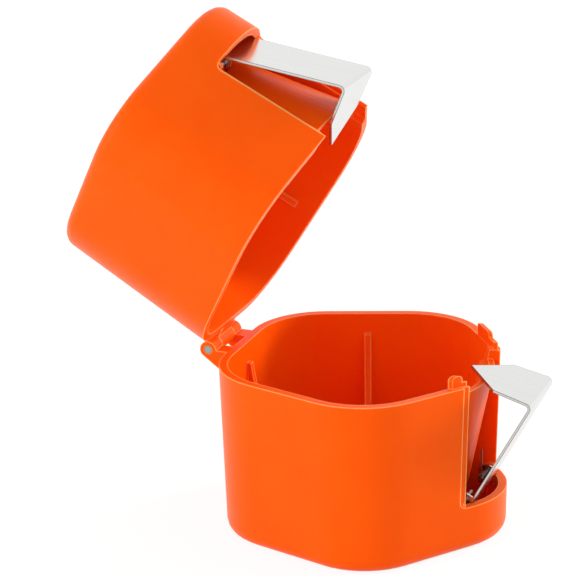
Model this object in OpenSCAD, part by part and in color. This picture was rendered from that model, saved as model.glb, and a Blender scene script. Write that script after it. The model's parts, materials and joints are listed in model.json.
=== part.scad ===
// Egg topper: two hinged moulded halves close round an egg, and two bent
// blades are pressed in between them to cut its top off.
// Frame: +Z up, origin on the underside of the base below the outline's
// centre, the blades at the front (-Y), the hinge at the back (+Y).
// Each half is drawn with its rim at z = 0 and its end face below, then placed.

/* [Shells] */
// Distance from the centre to the sharp corners of the five-sided outline
outline_r = 31; // [30.6:0.1:32]
// Radius of the outline's rounded corners
corner_r = 14.5; // [13.5:0.1:15.5]
// Height of the base half
base_h = 32.5; // [31:0.5:36]
// Height of the lid half
lid_h = 32.5; // [31:0.5:36]
// Draft angle of the outer walls
draft = 1.5; // [0.5:0.1:2]
// Thickness of the side walls
wall = 1.6; // [1.3:0.1:1.8]
// Thickness of the end faces
end_wall = 1.8; // [1.4:0.1:2.4]
// Radius of the outer edge round each end face
edge_r = 2.2; // [1:0.1:3]
// Radius of the inner edge round each floor
floor_r = 1.6; // [0.8:0.1:2.4]
// Gap between the two rims when the lid is shut
rim_gap = 0.2; // [0.15:0.05:0.4]
// Angle that the lid stands open in the rest pose
open_angle = 59.8; // [0:0.2:90]

/* [Egg seat] */
// Radius of the egg at the rims
egg_r = 22.9; // [22:0.1:23]
// Gap between the egg's end and the floor
egg_floor = 2.1; // [1.8:0.1:2.6]
// Thickness of the five seat ribs
rib_t = 1.2; // [1:0.1:1.6]
// Distance from the rim down to the top of each rib
rib_top = 4; // [3:0.5:8]
// Outer radius of the ring that the ribs meet
ring_r = 8.6; // [8:0.1:10]

/* [Blade recess] */
// Half width of the cut in the outer wall
cut_half = 11.3; // [11.1:0.1:11.8]
// Height of the lip in front of the recess, from the end face
lip_h = 8.8; // [8:0.1:9.4]
// Radius of the cut's lower corners
cut_r = 1.4; // [0.8:0.1:2]
// Half width of the clear space between the recess cheeks
recess_half = 9.8; // [9.6:0.1:10]
// How far the cheeks reach into the walls beside the cut
cheek_lap = 0.3; // [0.2:0.1:0.6]
// How far the base's cheeks stand back from the outer surface
base_cheek_back = 0.5; // [0.3:0.1:0.7]
// How far the lid's cheeks stand back from the outer surface
lid_cheek_back = 1.3; // [1.2:0.1:1.4]
// Radius that the recess's back wall has at the rim
back_r = 24.4; // [24.2:0.1:24.6]
// Lean of the back wall
back_lean = 12; // [11.5:0.1:12.5]
// Thickness of the back wall
back_t = 1.1; // [0.8:0.1:1.3]
// Step from the base rim down to the top of its back wall
base_step = 1.9; // [1.6:0.1:2.4]
// Step from the lid rim to the end of its back wall
lid_step = 2; // [1.6:0.1:2.6]

/* [Locating tabs] */
// Distance of the tabs' outer faces behind the outer surface
tab_inset = 0.85; // [0.8:0.05:1]
// Width of the left tab with its shoulder
tab_left_w = 2.6; // [2.4:0.1:3]
// Width of the left tab's hump
hump_left_w = 1.8; // [1.6:0.1:2]
// Height of the left tab's hump above the rim
hump_left_h = 2.3; // [1.8:0.1:2.5]
// Height of the left tab's shoulder above the rim
shoulder_left_h = 0.9; // [0.5:0.1:1.2]
// Width of the right tab with its shoulder
tab_right_w = 7.4; // [6.6:0.1:8]
// Width of the right tab's hump
hump_right_w = 5.1; // [4:0.1:5.4]
// Height of the right tab's hump above the rim
hump_right_h = 2.5; // [2:0.1:3]
// Height of the right tab's shoulder above the rim
shoulder_right_h = 1.5; // [1:0.1:1.8]
// Radius of the humps' upper corners
tab_round = 0.8; // [0.4:0.1:0.8]
// Gap round a tab in the shut lid
tab_gap = 0.3; // [0.25:0.05:0.35]

/* [Blades] */
// Thickness of the blade sheet
sheet_t = 0.5; // [0.4:0.05:0.5]
// Width of the blades
blade_w = 14.8; // [14:0.1:15]
// Length of a tip section, from the bend to the point
tip_l = 14; // [13:0.1:14.2]
// Length of the pointed part of the tip section
point_l = 6.4; // [5:0.1:8]
// Width across the shoulders where the point starts
shoulder_w = 13.8; // [12:0.1:14]
// Radius of the bend, in the middle of the sheet
bend_r = 0.9; // [0.6:0.1:1.1]
// Slope of the tip section back from square to the line from pivot to bend
tip_back = 17; // [17:0.1:18]
// Lean of the line from pivot to bend with a blade pressed home
press_lean = 9.6; // [9.6:0.1:10.4]
// Lean of the same line at rest, lower blade
lower_lean = 32.4; // [31:0.1:33]
// Lean of the same line at rest, upper blade
upper_lean = 23.5; // [22.5:0.1:24]
// How far a pressed bend stays short of its own rim
bend_short = 0.33; // [0.3:0.01:0.5]
// Distance from a pivot to the middle of the leaf in front of it
leaf_off = 1.35; // [1.3:0.05:1.5]
// Length of the leaf below its pivot
leaf_foot = 1.8; // [1:0.1:2.2]
// Gap between a leaf and the lip that it stands against at rest
leaf_gap = 0.15; // [0.1:0.05:0.3]
// Gap beside a leaf where it passes the lip
leaf_side = 0.3; // [0.2:0.1:0.5]

/* [Blade pivots] */
// Height of the blade pivots from the end faces
pivot_up = 9; // [8.8:0.1:9.4]
// Distance of the blade pivots behind the rim's front edge
pivot_in = 6.1; // [6:0.1:6.4]
// Radius of the short pivot pins
stub_r = 0.5; // [0.4:0.05:0.55]
// Radial clearance of a pin in a blade's ear
ear_clear = 0.05; // [0.03:0.01:0.08]
// Radial clearance of a pin in its cheek
seat_clear = 0.02; // [0.01:0.01:0.03]
// Radius of a blade's ears
ear_r = 1.5; // [1.3:0.1:1.6]
// Length of a pin's seat past the cheek's face
stub_seat = 0.6; // [0.4:0.1:0.7]
// Radius of the bosses round the pins
boss_r = 0.95; // [0.9:0.05:1.1]
// How far a boss stands proud of its cheek
boss_l = 0.5; // [0.3:0.1:0.7]

/* [Blade springs] */
// Diameter of the spring wire
wire_d = 0.3; // [0.25:0.05:0.35]
// Number of whole turns in a spring
turns = 3; // [2:1:3]
// Distance between the middles of neighbouring turns
coil_pitch = 0.85; // [0.82:0.01:0.9]
// Gap between the coil and its pin
coil_gap = 0.08; // [0.06:0.01:0.1]
// Gap between the coil and the blade's ear
coil_end_gap = 0.4; // [0.3:0.1:0.6]
// Length of a spring's two legs
leg_l = 4.8; // [4:0.1:5]

/* [Hinge] */
// Distance of the hinge axis behind the back face
hinge_out = 3.8; // [3.6:0.1:4.5]
// Radius of the hinge knuckles
knuckle_r = 1.6; // [1.4:0.1:1.8]
// Length of the whole hinge
hinge_l = 13; // [11:0.5:16]
// Length of the lid's knuckle
lid_knuckle_l = 6; // [5:0.5:8]
// Gap between neighbouring knuckles
knuckle_gap = 0.15; // [0.1:0.05:0.3]
// Radius of the hinge pin
pin_r = 0.75; // [0.6:0.05:0.8]
// Radial clearance of the pin in the lid's knuckle
pin_clear = 0.05; // [0.03:0.01:0.08]
// Radial clearance of the pin in the base's knuckles
pin_grip = 0.02; // [0.01:0.01:0.03]
// Depth of the webs that carry the knuckles
web_h = 5.5; // [4:0.5:8]

/* [Hidden] */

shell_colour = [1.0, 0.38, 0.07];
steel_colour = [0.84, 0.84, 0.82];
spring_colour = [0.55, 0.56, 0.58];

sides = 5;
arc_steps = 9;
edge_steps = 4;
egg_steps = 20;
wire_sides = 6;
turn_steps = 8;
bend_steps = 6;
big = 60;
cut_over = 1;
point_room = 2 * cut_over;

half_corner = 180 / sides;
apothem = outline_r * cos(half_corner);
corner_at = (apothem - corner_r) / cos(half_corner);
front_y = -(corner_at + corner_r);
pivot_y = front_y + pivot_in;
hinge_y = apothem + hinge_out;
hinge_z = base_h + rim_gap / 2;
lid_z = base_h + rim_gap;

cheek_half = cut_half + cheek_lap;
tab_skin = 0.05;
tab_start = recess_half + 0.1;
ear_out = blade_w / 2;
ear_in = ear_out - sheet_t;
stub_end = recess_half + stub_seat;
seat_over = 0.1;
coil_r = stub_r + coil_gap + wire_d / 2;
coil_l = coil_pitch * (turns + 0.5);
coil_start = ear_in - coil_end_gap - wire_d / 2 - coil_l;
stub_start = coil_start - wire_d;

// Distance from pivot to bend in a half of height h, so that a pressed bend stops short of the rim
function leaf_reach(h) = (h - pivot_up - bend_short) / cos(press_lean);

// Angle between a blade's leaf and the line from its pivot to its bend
function leaf_turn(h) = asin(leaf_off / leaf_reach(h));

// Inset of the outer surface at height up above the end face of a half of height h
function outer_inset(h, up) =
    (h - up) * tan(draft) + fillet_inset(edge_r, up);

// Inset of the hollow at height up above the floor of a half of height h
function inner_inset(h, up) =
    wall + (h - end_wall - up) * tan(draft) + fillet_inset(floor_r, up);

// Inset of a quarter-round edge of radius r at height up
function fillet_inset(r, up) = up >= r ? 0 : r - sqrt(r * r - (r - up) * (r - up));

// Heights of the rings round a quarter-round edge of radius r
function fillet_heights(r) = [for (i = [0 : edge_steps]) r * (1 - cos(90 * i / edge_steps))];

// The rounded five-sided outline, moved inwards by inset
function outline(inset) = [
    for (k = [0 : sides - 1], i = [0 : arc_steps])
        let (
            at = -90 + k * 2 * half_corner,
            turn = at + half_corner * (2 * i / arc_steps - 1)
        )
        [
            corner_at * cos(at) + (corner_r - inset) * cos(turn),
            corner_at * sin(at) + (corner_r - inset) * sin(turn)
        ]
];

// A closed solid through outline rings given as [z, inset], from the lowest up
module loft(levels) {
    n = sides * (arc_steps + 1);
    top = len(levels) - 1;
    points = [for (level = levels, p = outline(level[1])) [p[0], p[1], level[0]]];
    faces = concat(
        [[for (i = [0 : n - 1]) i]],
        [
            for (j = [0 : top - 1], i = [0 : n - 1])
                let (a = j * n + i, b = j * n + (i + 1) % n)
                [a, a + n, b + n, b]
        ],
        [[for (i = [n - 1 : -1 : 0]) top * n + i]]
    );
    polyhedron(points, faces, convexity = 6);
}

// The outside of a half, moved inwards by inset
module half_outside(h, inset = 0) {
    loft(concat(
        [for (up = fillet_heights(edge_r)) [up - h, outer_inset(h, up) + inset]],
        [[0, inset]]
    ));
}

// The hollow of a half, open past the rim
module half_hollow(h) {
    loft(concat(
        [for (up = fillet_heights(floor_r)) [end_wall + up - h, inner_inset(h, up)]],
        [[cut_over, wall - cut_over * tan(draft)]]
    ));
}

// The space of the egg below a rim, its widest part at the rim
module egg_space(h) {
    deep = h - end_wall - egg_floor;
    rotate_extrude($fn = 72)
        polygon(concat(
            [[0, cut_over], [egg_r, cut_over]],
            [
                for (i = [0 : egg_steps])
                    let (a = 90 * i / egg_steps)
                    [egg_r * cos(a), -deep * sin(a)]
            ]
        ));
}

// The cone that the recess's back wall follows, moved outwards by grow
module back_cone(h, grow) {
    translate([0, 0, -h])
        cylinder(
            r1 = back_r + grow - h * tan(back_lean),
            r2 = back_r + grow + cut_over * tan(back_lean),
            h = h + cut_over,
            $fn = 96
        );
}

// A block in front of the centre, of half width half, from the floor up to z
module front_block(h, half, z) {
    translate([-half, -big, end_wall / 2 - h])
        cube([2 * half, big, h - end_wall / 2 + z]);
}

// The clear space of the recess, in front of its back wall
module recess_space(h) {
    difference() {
        translate([0, 0, end_wall / 2])
            front_block(h, recess_half, cut_over);
        back_cone(h, 0);
    }
}

// The ribs that the egg stands on, and the ring that they meet
module seat_ribs(h) {
    low = end_wall / 2 - h;
    difference() {
        intersection() {
            union() {
                for (k = [0 : sides - 1])
                    rotate([0, 0, (2 * k + 1) * half_corner - 90])
                        translate([ring_r - rib_t / 2, -rib_t / 2, low])
                            cube([big, rib_t, -low - rib_top]);
                difference() {
                    translate([0, 0, low])
                        cylinder(r = ring_r, h = -low - rib_top, $fn = 60);
                    translate([0, 0, low - cut_over])
                        cylinder(r = ring_r - rib_t, h = h, $fn = 60);
                }
            }
            half_outside(h, wall / 2);
        }
        egg_space(h);
        recess_space(h);
    }
}

// The back wall of the recess, ending step below the rim, and its two cheeks, set back from the outside
module recess_walls(h, step, back) {
    difference() {
        intersection() {
            half_outside(h, back);
            front_block(h, cheek_half, 0);
        }
        back_cone(h, -back_t);
        recess_space(h);
        translate([-recess_half, -big, -step])
            cube([2 * recess_half, big, big]);
    }
}

// The cut in the outer wall in front of the recess, with round lower corners
module front_cut(h) {
    low = lip_h - h;
    translate([0, front_y + pivot_in + cut_over, 0])
        rotate([90, 0, 0])
            linear_extrude(big) {
                translate([-cut_half, low + cut_r])
                    square([2 * cut_half, big]);
                translate([cut_r - cut_half, low])
                    square([2 * (cut_half - cut_r), big]);
                for (side = [-1, 1])
                    translate([side * (cut_half - cut_r), low + cut_r])
                        circle(cut_r, $fn = 24);
            }
}

// The bosses that carry a blade's pins
module pin_bosses(h) {
    for (side = [-1, 1])
        translate([side * (recess_half - boss_l), pivot_y, pivot_up - h])
            rotate([0, side * 90, 0])
                cylinder(r = boss_r, h = boss_l + stub_seat, $fn = 32);
}

// The seats of a blade's pins in the cheeks
module pin_seats(h) {
    for (side = [-1, 1])
        translate([side * ear_out, pivot_y, pivot_up - h])
            rotate([0, side * 90, 0])
                cylinder(r = stub_r + seat_clear, h = stub_end - ear_out + seat_over, $fn = 24);
}

// The room that a leaf needs behind the lip, from its rest lean to pressed
module leaf_relief(h, lean) {
    out = leaf_off + sheet_t / 2 + leaf_gap;
    low = leaf_foot + 0.5;
    at_pivot(h, 0)
        translate([-ear_out - leaf_side, 0, 0])
            rotate([90, 0, 90])
                linear_extrude(2 * (ear_out + leaf_side))
                    for (at = [lean, press_lean])
                        rotate(at - leaf_turn(h))
                            translate([-out, -low])
                                square([out, low + lip_h]);
}

// One half without its hinge knuckles and tabs
module half_shell(h, step, back, lean) {
    difference() {
        union() {
            difference() {
                half_outside(h);
                half_hollow(h);
                front_cut(h);
                leaf_relief(h, lean);
            }
            seat_ribs(h);
            recess_walls(h, step, back);
            pin_bosses(h);
        }
        pin_seats(h);
    }
}

// A tab seen from the front, right of the recess: a hump at its far end and a lower shoulder
module tab_shape(w, hump_w, hump_h, shoulder, grow) {
    wide = hump_w + 2 * grow;
    near = tab_start + w - hump_w - grow;
    translate([tab_start - grow, -cut_over])
        square([w + 2 * grow, cut_over + shoulder + grow]);
    translate([near, -cut_over])
        square([wide, cut_over + hump_h + grow - tab_round]);
    translate([near + tab_round, -cut_over])
        square([wide - 2 * tab_round, cut_over + hump_h + grow]);
    for (x = [near + tab_round, near + wide - tab_round])
        translate([x, hump_h + grow - tab_round])
            circle(tab_round, $fn = 24);
}

// Both tabs on a rim at z = 0, between two insets of the outline; grow widens them into rebates
module tabs(outer, inner, grow) {
    intersection() {
        rotate([90, 0, 0])
            linear_extrude(big) {
                tab_shape(tab_right_w, hump_right_w, hump_right_h, shoulder_right_h, grow);
                mirror([1, 0])
                    tab_shape(tab_left_w, hump_left_w, hump_left_h, shoulder_left_h, grow);
            }
        translate([0, 0, -cut_over])
            linear_extrude(big)
                difference() {
                    polygon(outline(outer));
                    polygon(outline(inner));
                }
    }
}

// A knuckle of length l on its web, centred at x, on the hinge axis; up turns the web over for the lid
module knuckle(x, l, bore_r, up) {
    root = -hinge_out - wall / 2;
    translate([x - l / 2, hinge_y, hinge_z])
        mirror([0, 0, up])
            rotate([90, 0, 90])
                difference() {
                    linear_extrude(l) {
                        circle(knuckle_r, $fn = 40);
                        polygon([
                            [root, -rim_gap / 2],
                            [0, 0],
                            [knuckle_r * cos(50), -knuckle_r * sin(50)],
                            [root, -web_h]
                        ]);
                    }
                    translate([0, 0, -cut_over])
                        cylinder(r = bore_r, h = l + 2 * cut_over, $fn = 32);
                }
}

// Turns the lid and what it carries from shut to its rest pose
module opened() {
    translate([0, hinge_y, hinge_z])
        rotate([-open_angle, 0, 0])
            translate([0, -hinge_y, -hinge_z])
                children();
}

// Places a half, drawn with its rim at z = 0, as the shut lid
module as_lid() {
    translate([0, 0, lid_z])
        mirror([0, 0, 1])
            children();
}

module base_shell() {
    end_l = (hinge_l - lid_knuckle_l) / 2 - knuckle_gap;
    color(shell_colour)
        difference() {
            union() {
                translate([0, 0, base_h]) {
                    half_shell(base_h, base_step, base_cheek_back, lower_lean);
                    tabs(tab_inset, wall - tab_skin, 0);
                }
                for (side = [-1, 1])
                    knuckle(side * (hinge_l - end_l) / 2, end_l, pin_r + pin_grip, 0);
            }
            hinge_bore(pin_r + pin_grip);
        }
}

module lid_shell() {
    color(shell_colour)
        opened()
            difference() {
                union() {
                    as_lid()
                        difference() {
                            half_shell(lid_h, lid_step, lid_cheek_back, upper_lean);
                            mirror([0, 0, 1])
                                tabs(tab_inset - tab_gap, wall + cut_over, tab_gap);
                        }
                    knuckle(0, lid_knuckle_l, pin_r + pin_clear, 1);
                }
                hinge_bore(pin_r + pin_clear);
            }
}

// The bore through all knuckles
module hinge_bore(r) {
    translate([-hinge_l / 2 - cut_over, hinge_y, hinge_z])
        rotate([0, 90, 0])
            cylinder(r = r, h = hinge_l + 2 * cut_over, $fn = 32);
}

module hinge_pin() {
    color(steel_colour)
        translate([-hinge_l / 2, hinge_y, hinge_z])
            rotate([0, 90, 0])
                cylinder(r = pin_r, h = hinge_l, $fn = 32);
}

// The middle of the sheet in a blade's side view: up the leaf, round the bend, along the tip.
// The pivot is at the origin, y runs in from the front and z up the leaf of a blade that doesn't lean.
function blade_line(h) =
    let (
        reach = leaf_reach(h),
        turn = leaf_turn(h),
        leaf = [sin(turn), cos(turn)],
        tip = [cos(tip_back), -sin(tip_back)],
        corner = [0, reach],
        bend = 90 + tip_back - turn,
        back = bend_r * tan(bend / 2),
        centre = corner - back * leaf + bend_r * [leaf[1], -leaf[0]]
    )
    concat(
        [corner - (reach * cos(turn) + leaf_foot) * leaf],
        [
            for (i = [0 : bend_steps])
                let (a = 180 - turn - bend * i / bend_steps)
                centre + bend_r * [cos(a), sin(a)]
        ],
        [corner + tip_l * tip]
    );

// Unit vector square to the line through p at point i, to its left
function left_of(p, i) =
    let (
        a = p[max(0, i - 1)],
        b = p[min(len(p) - 1, i + 1)],
        d = (b - a) / norm(b - a)
    )
    [-d[1], d[0]];

// The outline of a sheet of thickness t along the line p
function sheet_outline(p, t) = concat(
    [for (i = [0 : len(p) - 1]) p[i] + left_of(p, i) * t / 2],
    [for (i = [len(p) - 1 : -1 : 0]) p[i] - left_of(p, i) * t / 2]
);

// A blade about its pivot, standing without lean
module blade(h) {
    reach = leaf_reach(h);
    difference() {
        union() {
            translate([-blade_w / 2, 0, 0])
                rotate([90, 0, 90])
                    linear_extrude(blade_w)
                        polygon(sheet_outline(blade_line(h), sheet_t));
            for (side = [-1, 1])
                translate([side > 0 ? ear_in : -ear_out, 0, 0])
                    rotate([90, 0, 90])
                        linear_extrude(sheet_t)
                            rotate(-leaf_turn(h)) {
                                circle(ear_r, $fn = 32);
                                translate([-leaf_off, -ear_r])
                                    square([leaf_off, 2 * ear_r]);
                            }
        }
        translate([-big, 0, 0])
            rotate([0, 90, 0])
                cylinder(r = stub_r + ear_clear, h = 2 * big, $fn = 24);
        // the two sides of the point, and the taper of the tip section towards it
        translate([0, 0, reach])
            rotate([-tip_back, 0, 0])
                for (side = [0, 1])
                    mirror([side, 0, 0])
                        translate([0, 0, -point_room])
                            linear_extrude(2 * point_room)
                                polygon([
                                    [blade_w / 2, bend_r + sheet_t],
                                    [shoulder_w / 2, tip_l - point_l],
                                    [0, tip_l],
                                    [0, tip_l + point_room],
                                    [blade_w, tip_l + point_room],
                                    [blade_w, bend_r + sheet_t]
                                ]);
    }
}

// Places a blade or spring in a half whose rim is at z = 0
module at_pivot(h, lean) {
    translate([0, pivot_y, pivot_up - h])
        rotate([lean, 0, 0])
            children();
}

module lower_blade() {
    color(steel_colour)
        translate([0, 0, base_h])
            at_pivot(base_h, lower_lean)
                blade(base_h);
}

module upper_blade() {
    color(steel_colour)
        opened()
            as_lid()
                at_pivot(lid_h, upper_lean)
                    blade(lid_h);
}

// The two short pins that a blade turns on
module pivot_pins() {
    for (side = [-1, 1])
        rotate([0, side * 90, 0])
            translate([0, 0, stub_start])
                cylinder(r = stub_r, h = stub_end - stub_start, $fn = 24);
}

module lower_blade_pins() {
    color(steel_colour)
        translate([0, 0, base_h])
            at_pivot(base_h, 0)
                pivot_pins();
}

module upper_blade_pins() {
    color(steel_colour)
        opened()
            as_lid()
                at_pivot(lid_h, 0)
                    pivot_pins();
}

// The path of a spring's wire: a leg up the leaf, the coil round the pin, a leg up the back wall
function spring_path(leaf_angle) =
    let (
        sweep = turns * 360 - leaf_angle + 180,
        steps = ceil(sweep / 360 * turn_steps),
        start = 180 + leaf_angle,
        end = start + sweep,
        leaf = [-sin(leaf_angle), cos(leaf_angle)]
    )
    concat(
        [
            for (l = [leg_l, leg_l / 2])
                [coil_start, coil_r * cos(start) + l * leaf[0], coil_r * sin(start) + l * leaf[1]]
        ],
        [
            for (i = [0 : steps])
                let (a = start + sweep * i / steps)
                [coil_start + coil_pitch * sweep / 360 * i / steps, coil_r * cos(a), coil_r * sin(a)]
        ],
        [
            for (l = [leg_l / 2, leg_l])
                [coil_start + coil_pitch * sweep / 360, coil_r * cos(end), coil_r * sin(end) + l]
        ]
    );

// The least gap of a wire of diameter d to itself, between points at least half a turn apart
function wire_gap(path, d) = min([
    for (i = [0 : len(path) - 1], j = [i + turn_steps / 2 : 1 : len(path) - 1])
        norm(path[i] - path[j])
]) - d;

// A round wire of diameter d swept along the points of path, which stay near planes square to X
module wire(path, d) {
    echo(least_gap_mm = wire_gap(path, d));
    n = len(path);
    tangents = [
        for (i = [0 : n - 1])
            let (t = path[min(n - 1, i + 1)] - path[max(0, i - 1)])
            t / norm(t)
    ];
    points = [
        for (i = [0 : n - 1], k = [0 : wire_sides - 1])
            let (
                t = tangents[i],
                side = cross(t, [1, 0, 0]) / norm(cross(t, [1, 0, 0])),
                up = cross(side, t),
                a = 360 * k / wire_sides
            )
            path[i] + d / 2 * (cos(a) * side + sin(a) * up)
    ];
    faces = concat(
        [[for (k = [0 : wire_sides - 1]) k]],
        [
            for (i = [0 : n - 2], k = [0 : wire_sides - 1])
                let (a = i * wire_sides + k, b = i * wire_sides + (k + 1) % wire_sides)
                [a, a + wire_sides, b + wire_sides, b]
        ],
        [[for (k = [wire_sides - 1 : -1 : 0]) (n - 1) * wire_sides + k]]
    );
    polyhedron(points, faces, convexity = 10);
}

module lower_blade_spring() {
    color(spring_colour)
        translate([0, 0, base_h])
            at_pivot(base_h, 0)
                wire(spring_path(lower_lean - leaf_turn(base_h)), wire_d);
}

module upper_blade_spring() {
    color(spring_colour)
        opened()
            as_lid()
                at_pivot(lid_h, 0)
                    wire(spring_path(upper_lean - leaf_turn(lid_h)), wire_d);
}

base_shell();
lid_shell();
hinge_pin();
lower_blade();
upper_blade();
lower_blade_pins();
upper_blade_pins();
lower_blade_spring();
upper_blade_spring();
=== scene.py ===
import json
import math

import bmesh
import bpy
from mathutils import Matrix, Vector


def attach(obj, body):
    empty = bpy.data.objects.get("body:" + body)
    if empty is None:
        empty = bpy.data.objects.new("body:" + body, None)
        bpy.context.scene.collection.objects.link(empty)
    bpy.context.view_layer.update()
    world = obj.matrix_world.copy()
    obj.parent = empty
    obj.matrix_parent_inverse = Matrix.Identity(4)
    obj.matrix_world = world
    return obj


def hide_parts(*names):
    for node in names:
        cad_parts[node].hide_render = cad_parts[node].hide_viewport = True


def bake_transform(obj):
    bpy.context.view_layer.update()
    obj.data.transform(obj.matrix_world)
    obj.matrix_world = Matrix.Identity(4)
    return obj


MM = 0.001

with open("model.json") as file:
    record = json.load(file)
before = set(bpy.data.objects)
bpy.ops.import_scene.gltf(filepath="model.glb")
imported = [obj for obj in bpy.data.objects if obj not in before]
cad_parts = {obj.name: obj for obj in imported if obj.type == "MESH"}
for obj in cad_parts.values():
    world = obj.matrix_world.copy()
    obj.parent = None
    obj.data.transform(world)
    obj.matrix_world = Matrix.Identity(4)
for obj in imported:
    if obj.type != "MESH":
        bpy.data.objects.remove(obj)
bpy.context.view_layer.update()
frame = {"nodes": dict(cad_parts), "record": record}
bpy.ops.object.select_all(action="DESELECT")

# ---- Camera ----------------------------------------------------------------
# Looks at the open tool from its left, a little to the front and above.
TARGET = Vector((0, 15.07, 44.09)) * MM
TO_CAMERA = Vector((-0.88488, -0.34111, 0.31722))
DISTANCE = 494.7 * MM
LENS_MM = 166.0
SENSOR_MM = 36
NEAREST_SEEN = 10 * MM
ROLL = math.radians(-1.18)


def set_camera():
    back = TO_CAMERA.normalized()
    right = Vector((0, 0, 1)).cross(back).normalized()
    up = back.cross(right)
    turned_right = right * math.cos(ROLL) + up * math.sin(ROLL)
    turned_up = back.cross(turned_right)
    place = Matrix((turned_right, turned_up, back)).transposed().to_4x4()
    place.translation = TARGET + DISTANCE * back
    bpy.ops.object.camera_add()
    camera = bpy.context.object
    camera.data.lens = LENS_MM
    camera.data.sensor_width = SENSOR_MM
    camera.data.clip_start = NEAREST_SEEN
    camera.matrix_world = place
    bpy.context.scene.camera = camera


# ---- Materials -------------------------------------------------------------
def linear(hex_colour):
    """A written sRGB colour, such as "#FF6010", as the linear numbers that a shader takes."""
    parts = [int(hex_colour[i : i + 2], 16) / 255 for i in (1, 3, 5)]
    return [p / 12.92 if p <= 0.04045 else ((p + 0.055) / 1.055) ** 2.4 for p in parts] + [1]


def add(tree, kind, values=(), links=(), **settings):
    """Adds a node, sets its settings and input values, and links other nodes' outputs into it."""
    made = tree.nodes.new(kind)
    for name, value in settings.items():
        setattr(made, name, value)
    for name, value in dict(values).items():
        made.inputs[name].default_value = value
    for name, output in dict(links).items():
        tree.links.new(output, made.inputs[name])
    return made


def start_material(name):
    material = bpy.data.materials.new(name)
    material.use_nodes = True
    tree = material.node_tree
    tree.nodes.clear()
    return material, tree


def edge_mask(tree, radius, painted_full_at, flat):
    """White on the surface's edges, about radius wide, and black on its faces. The materials
    paint light and shade with it: a painted highlight on the plastic's edges, and a painted
    dark line on the steel's.

    It compares the face's direction with that of a rounded edge. Their dot product is at the
    lower threshold or less where the mask is full, and flat or more where there is none.
    """
    rounded = add(tree, "ShaderNodeBevel", {"Radius": radius}, samples=8)
    straight = add(tree, "ShaderNodeNewGeometry")
    likeness = add(
        tree, "ShaderNodeVectorMath",
        links={0: rounded.outputs["Normal"], 1: straight.outputs["Normal"]},
        operation="DOT_PRODUCT",
    )
    mask = add(
        tree, "ShaderNodeMapRange", {"From Min": flat, "From Max": painted_full_at},
        {"Value": likeness.outputs["Value"]}, clamp=True,
    )
    return mask.outputs["Result"]


def moulded_abs():
    # Injection-moulded ABS: an even, saturated orange with a soft gloss, a very
    # faint flow mottle, and a painted highlight, a paler line where light would catch the trimmed
    # edges.
    material, tree = start_material("moulded_abs_orange")
    place = add(tree, "ShaderNodeTexCoord")
    flow = add(
        tree, "ShaderNodeTexNoise",
        {"Scale": 1 / (9 * MM), "Detail": 3, "Roughness": 0.5},
        {"Vector": place.outputs["Object"]},
    )
    body = add(tree, "ShaderNodeValToRGB", links={"Fac": flow.outputs["Fac"]})
    body.color_ramp.elements[0].position = 0.3
    body.color_ramp.elements[0].color = linear("#FC5A04")
    body.color_ramp.elements[1].position = 0.7
    body.color_ramp.elements[1].color = linear("#FF5E06")
    # Painted highlight: the trimmed edges are coloured paler, however the light falls.
    edges = edge_mask(tree, radius=0.45 * MM, painted_full_at=0.86, flat=0.99)
    colour = add(
        tree, "ShaderNodeMix", {"B": linear("#FFA660")},
        {"Factor": edges, "A": body.outputs["Color"]},
        data_type="RGBA",
    )
    # The mould's spark finish, drawn at 0.4 mm because the real grain is too fine to show.
    grain = add(
        tree, "ShaderNodeTexNoise", {"Scale": 1 / (0.4 * MM), "Detail": 2},
        {"Vector": place.outputs["Object"]},
    )
    bump = add(
        tree, "ShaderNodeBump", {"Strength": 0.04, "Distance": 0.05 * MM},
        {"Height": grain.outputs["Fac"]},
    )
    rough = add(
        tree, "ShaderNodeMapRange", {"To Min": 0.32, "To Max": 0.42},
        {"Value": flow.outputs["Fac"]},
    )
    # Red light spreads furthest inside the thin walls, which keeps the hollows bright.
    skin = add(
        tree, "ShaderNodeBsdfPrincipled",
        {
            "IOR": 1.53, "Specular IOR Level": 0.15, "Specular Tint": linear("#FFC08C"),
            "Subsurface Weight": 0.5, "Subsurface Scale": 1.5 * MM,
            "Subsurface Radius": (1.0, 0.25, 0.08),
        },
        {
            "Base Color": colour.outputs["Result"],
            "Roughness": rough.outputs["Result"],
            "Normal": bump.outputs["Normal"],
        },
    )
    add(tree, "ShaderNodeOutputMaterial", links={"Surface": skin.outputs["BSDF"]})
    return material


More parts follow.
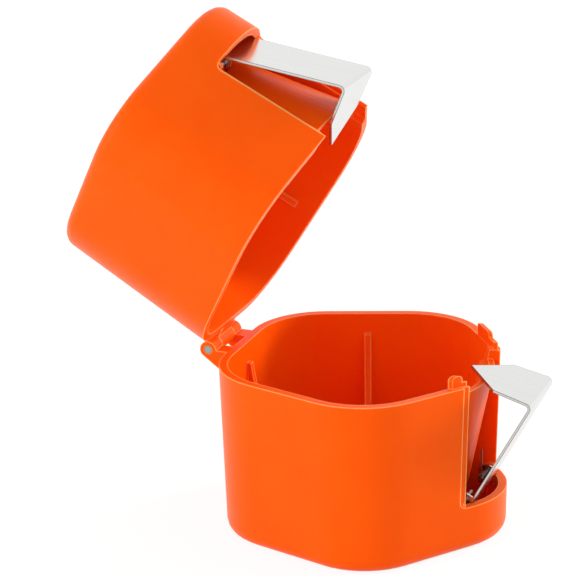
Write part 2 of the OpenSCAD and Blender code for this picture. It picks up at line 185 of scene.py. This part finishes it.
def brushed_stainless(name, light, dark, cut, edge, rough_low, rough_high):
    # Stainless steel, cold-rolled as strip or drawn as pin and wire: an even grey with
    # very faint streaks, which run lengthwise on the strip. Its sheared sides are duller,
    # and a painted dark line of shade runs along their edges.
    material, tree = start_material(name)
    place = add(tree, "ShaderNodeTexCoord")
    # A streak is 0.22 mm wide, coarser than the real ones so that it shows, and 20 mm long.
    lay = add(
        tree, "ShaderNodeMapping",
        {"Scale": (1 / (0.22 * MM), 1 / (20 * MM), 1 / (20 * MM))},
        {"Vector": place.outputs["Object"]},
    )
    streaks = add(
        tree, "ShaderNodeTexNoise", {"Scale": 1, "Detail": 3, "Roughness": 0.6},
        {"Vector": lay.outputs["Vector"]},
    )
    body = add(tree, "ShaderNodeValToRGB", links={"Fac": streaks.outputs["Fac"]})
    body.color_ramp.elements[0].position = 0.3
    body.color_ramp.elements[0].color = linear(dark)
    body.color_ramp.elements[1].position = 0.7
    body.color_ramp.elements[1].color = linear(light)
    # The sheared sides are the faces that look to the left or the right.
    facing = add(tree, "ShaderNodeSeparateXYZ", links={"Vector": place.outputs["Normal"]})
    sideways = add(
        tree, "ShaderNodeMath", links={0: facing.outputs["X"]}, operation="ABSOLUTE",
    )
    sheared = add(
        tree, "ShaderNodeMapRange", {"From Min": 0.3, "From Max": 0.5},
        {"Value": sideways.outputs["Value"]}, clamp=True,
    )
    sheet = add(
        tree, "ShaderNodeMix", {"B": linear(cut)},
        {"Factor": sheared.outputs["Result"], "A": body.outputs["Color"]},
        data_type="RGBA",
    )
    # Painted shade: a dark line along every edge, standing in for the dark the edges reflect.
    edges = edge_mask(tree, radius=0.2 * MM, painted_full_at=0.92, flat=0.995)
    colour = add(
        tree, "ShaderNodeMix", {"B": linear(edge)},
        {"Factor": edges, "A": sheet.outputs["Result"]},
        data_type="RGBA",
    )
    bump = add(
        tree, "ShaderNodeBump", {"Strength": 0.03, "Distance": 0.01 * MM},
        {"Height": streaks.outputs["Fac"]},
    )
    rough = add(
        tree, "ShaderNodeMapRange", {"To Min": rough_low, "To Max": rough_high},
        {"Value": streaks.outputs["Fac"]},
    )
    metal = add(
        tree, "ShaderNodeBsdfPrincipled", {"Metallic": 1.0},
        {
            "Base Color": colour.outputs["Result"],
            "Roughness": rough.outputs["Result"],
            "Normal": bump.outputs["Normal"],
        },
    )
    add(tree, "ShaderNodeOutputMaterial", links={"Surface": metal.outputs["BSDF"]})
    return material


# Corners closer than this are one corner, and faces that turn less than this are one face.
WELD = 0.002 * MM
FLAT = math.radians(0.5)

# An edge that turns by more degrees than this stays crisp.
MOULDED_CREASE = 30
SHEARED_CREASE = 30
PIN_CREASE = 40
WIRE_CREASE = 70

# A shell's outer wall is what lies this far from its axis and looks this much outwards.
# It is sliced into rows of this height, and a slice takes in the corners this close to it.
WALL_REACH = 23.5 * MM
WALL_FACING = 0.3
ROW_MM = 1.5
ROW_SNAP = 0.001 * MM

# Where the rows start and end: above the base's underside, and above the lid's mouth. The
# base's rounded foot is left out.
BASE_ROWS_MM = (2.3, 34)
LID_ROWS_MM = (0.2, 31)


def cut_into_rows(foot, axis, rows_mm):
    """Slices a shell's outer wall across its axis, so a cut's corner shades only its own row.

    The axis starts at foot, and rows_mm says how far up it the rows start and end.
    """
    first_mm, last_mm = rows_mm
    mesh = bpy.context.object.data
    bpy.ops.mesh.select_mode(type="FACE")
    for step in range(int((last_mm - first_mm) / ROW_MM)):
        bpy.ops.mesh.select_all(action="DESELECT")
        shell = bmesh.from_edit_mesh(mesh)
        for face in shell.faces:
            reach = face.calc_center_median() - foot
            outward = reach - reach.dot(axis) * axis
            looks_out = face.normal.dot(outward.normalized()) > WALL_FACING
            if outward.length > WALL_REACH and looks_out:
                face.select_set(True)
        bmesh.update_edit_mesh(mesh)
        bpy.ops.mesh.bisect(
            plane_co=foot + axis * (first_mm + step * ROW_MM) * MM,
            plane_no=axis, threshold=ROW_SNAP,
        )


def dress(node, body, material, crease, rows=None, twisting_body=None):
    """A welded copy of a CAD node with smooth curves, creased edges and its material.

    A shell gives what cut_into_rows needs. A spring gives the body of its blade, which is read
    only to leave the spring out of every body.
    """
    bpy.ops.object.select_all(action="DESELECT")
    piece = frame["nodes"][node].copy()
    piece.data = piece.data.copy()
    piece.name = node + "_finished"
    bpy.context.collection.objects.link(piece)
    piece.parent = None
    piece.matrix_world = Matrix.Identity(4)
    piece.select_set(True)
    bpy.context.view_layer.objects.active = piece
    bpy.ops.object.mode_set(mode="EDIT")
    bpy.ops.mesh.select_all(action="SELECT")
    bpy.ops.mesh.remove_doubles(threshold=WELD)
    bpy.ops.mesh.dissolve_limited(angle_limit=FLAT)
    if rows:
        cut_into_rows(*rows)
    bpy.ops.mesh.select_mode(type="EDGE")
    bpy.ops.mesh.select_all(action="DESELECT")
    bpy.ops.mesh.edges_select_sharp(sharpness=math.radians(crease))
    bpy.ops.mesh.mark_sharp()
    bpy.ops.object.mode_set(mode="OBJECT")
    bpy.ops.object.shade_smooth()
    if rows:
        level = piece.modifiers.new("even_walls", "WEIGHTED_NORMAL")
        level.mode = "FACE_AREA"
        level.keep_sharp = True
        bpy.ops.object.modifier_apply(modifier=level.name)
    piece.data.materials.clear()
    piece.data.materials.append(material)
    if twisting_body:
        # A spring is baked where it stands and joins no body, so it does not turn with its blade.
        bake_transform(piece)
    else:
        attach(piece, body)
    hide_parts(node)


def dress_shells(plastic):
    lid_hinge = next(
        joint for joint in frame["record"]["behaviour"]["joints"]
        if joint["name"] == "lid_hinge"
    )
    # The lid stands open: its axis leans back by as much as the hinge turns to shut it.
    hinge = Vector(lid_hinge["pos_m"])
    lean = math.radians(-lid_hinge["range_deg"][0])
    lid_mouth = hinge + hinge.y * Vector((0, -math.cos(lean), math.sin(lean)))
    lid_axis = Vector((0, math.sin(lean), math.cos(lean)))
    base_foot = Vector((0, 0, 0))
    base_axis = Vector((0, 0, 1))
    dress(
        "base_shell", "base", plastic, MOULDED_CREASE,
        rows=(base_foot, base_axis, BASE_ROWS_MM),
    )
    dress(
        "lid_shell", "lid", plastic, MOULDED_CREASE,
        rows=(lid_mouth, lid_axis, LID_ROWS_MM),
    )


# ---- Floor, backdrop and light ---------------------------------------------
# Wide enough that its edge stays out of sight, and just under the object, so that the floor
# doesn't show through the underside.
FLOOR_SIZE = 6000 * MM
FLOOR_DROP = 0.02 * MM


def seen_directly(tree):
    """1 for what the camera sees, also in a reflection or through something, and 0 for light."""
    ray = add(tree, "ShaderNodeLightPath")
    mirrored = add(
        tree, "ShaderNodeMath",
        links={0: ray.outputs["Is Glossy Ray"], 1: ray.outputs["Is Transmission Ray"]},
        operation="MAXIMUM",
    )
    seen = add(
        tree, "ShaderNodeMath",
        links={0: ray.outputs["Is Camera Ray"], 1: mirrored.outputs["Value"]},
        operation="MAXIMUM",
    )
    return seen.outputs["Value"]


def pale_floor():
    bpy.ops.object.select_all(action="DESELECT")
    bpy.ops.mesh.primitive_plane_add(size=FLOOR_SIZE, location=(0, 0, -FLOOR_DROP))
    floor = bpy.context.object
    floor.name = "floor"
    material, tree = start_material("white_studio_paper")
    paper = add(tree, "ShaderNodeBsdfDiffuse", {"Color": linear("#F4F4F4")})
    # A little over 1, because a fifth of what the camera sees is the shaded paper itself.
    white = add(tree, "ShaderNodeEmission", {"Color": linear("#FFFFFF"), "Strength": 1.08})
    share = add(
        tree, "ShaderNodeMath", {1: 0.8}, {0: seen_directly(tree)},
        operation="MULTIPLY",
    )
    mix = add(
        tree, "ShaderNodeMixShader",
        links={
            0: share.outputs["Value"],
            1: paper.outputs["BSDF"],
            2: white.outputs["Emission"],
        },
    )
    add(tree, "ShaderNodeOutputMaterial", links={"Surface": mix.outputs["Shader"]})
    floor.data.materials.append(material)


def white_world():
    world = bpy.data.worlds.new("white_studio")
    bpy.context.scene.world = world
    world.use_nodes = True
    tree = world.node_tree
    tree.nodes.clear()
    # White at a strength of 1 to the camera and in reflections, and dimmer as a light.
    strength = add(
        tree, "ShaderNodeMapRange", {"To Min": 0.75, "To Max": 1.0},
        {"Value": seen_directly(tree)},
    )
    sky = add(
        tree, "ShaderNodeBackground", {"Color": linear("#FFFFFF")},
        {"Strength": strength.outputs["Result"]},
    )
    add(tree, "ShaderNodeOutputWorld", links={"Surface": sky.outputs["Background"]})


def soft_lamp(name, place, size, watts):
    """A square lamp that faces the object's middle."""
    bpy.ops.object.light_add(type="AREA", location=place)
    lamp = bpy.context.object
    lamp.name = name
    lamp.data.size = size
    lamp.data.energy = watts
    lamp.rotation_euler = (TARGET - Vector(place)).to_track_quat("-Z", "Y").to_euler()
    return lamp


set_camera()
plastic = moulded_abs()
# Each steel's edge colour is a painted dark line of shade along its edges.
blade_steel = brushed_stainless(
    "stainless_strip", light="#E8E8E6", dark="#E0E0DD", cut="#CAC8C4", edge="#302F2E",
    rough_low=0.2, rough_high=0.28,
)
pin_steel = brushed_stainless(
    "drawn_steel_pin", light="#B4B4B0", dark="#A2A29F", cut="#A2A29F", edge="#6A6A68",
    rough_low=0.24, rough_high=0.36,
)
wire_steel = brushed_stainless(
    "spring_wire", light="#8E8F91", dark="#7A7B7D", cut="#7A7B7D", edge="#7A7B7D",
    rough_low=0.28, rough_high=0.4,
)

dress_shells(plastic)
dress("hinge_pin", "base", pin_steel, PIN_CREASE)
for blade in ("lower_blade", "upper_blade"):
    dress(blade, blade, blade_steel, SHEARED_CREASE)
for blade, half in (("lower_blade", "base"), ("upper_blade", "lid")):
    dress(blade + "_pins", half, pin_steel, PIN_CREASE)
for blade, half in (("lower_blade", "base"), ("upper_blade", "lid")):
    dress(
        blade + "_spring", half, wire_steel, WIRE_CREASE,
        twisting_body=blade,
    )

pale_floor()
white_world()
soft_lamp("key_lamp", place=(-0.55, 0.5, 0.25), size=0.5, watts=2.8)
# Only fills the hollows: mirrored in a rim or a bend, it would burn out to a white stripe.
recess_lamp = soft_lamp("recess_lamp", place=(0.7, -0.78, 0.3), size=0.35, watts=9.0)
recess_lamp.visible_glossy = False

bpy.context.scene.view_settings.view_transform = "Standard"
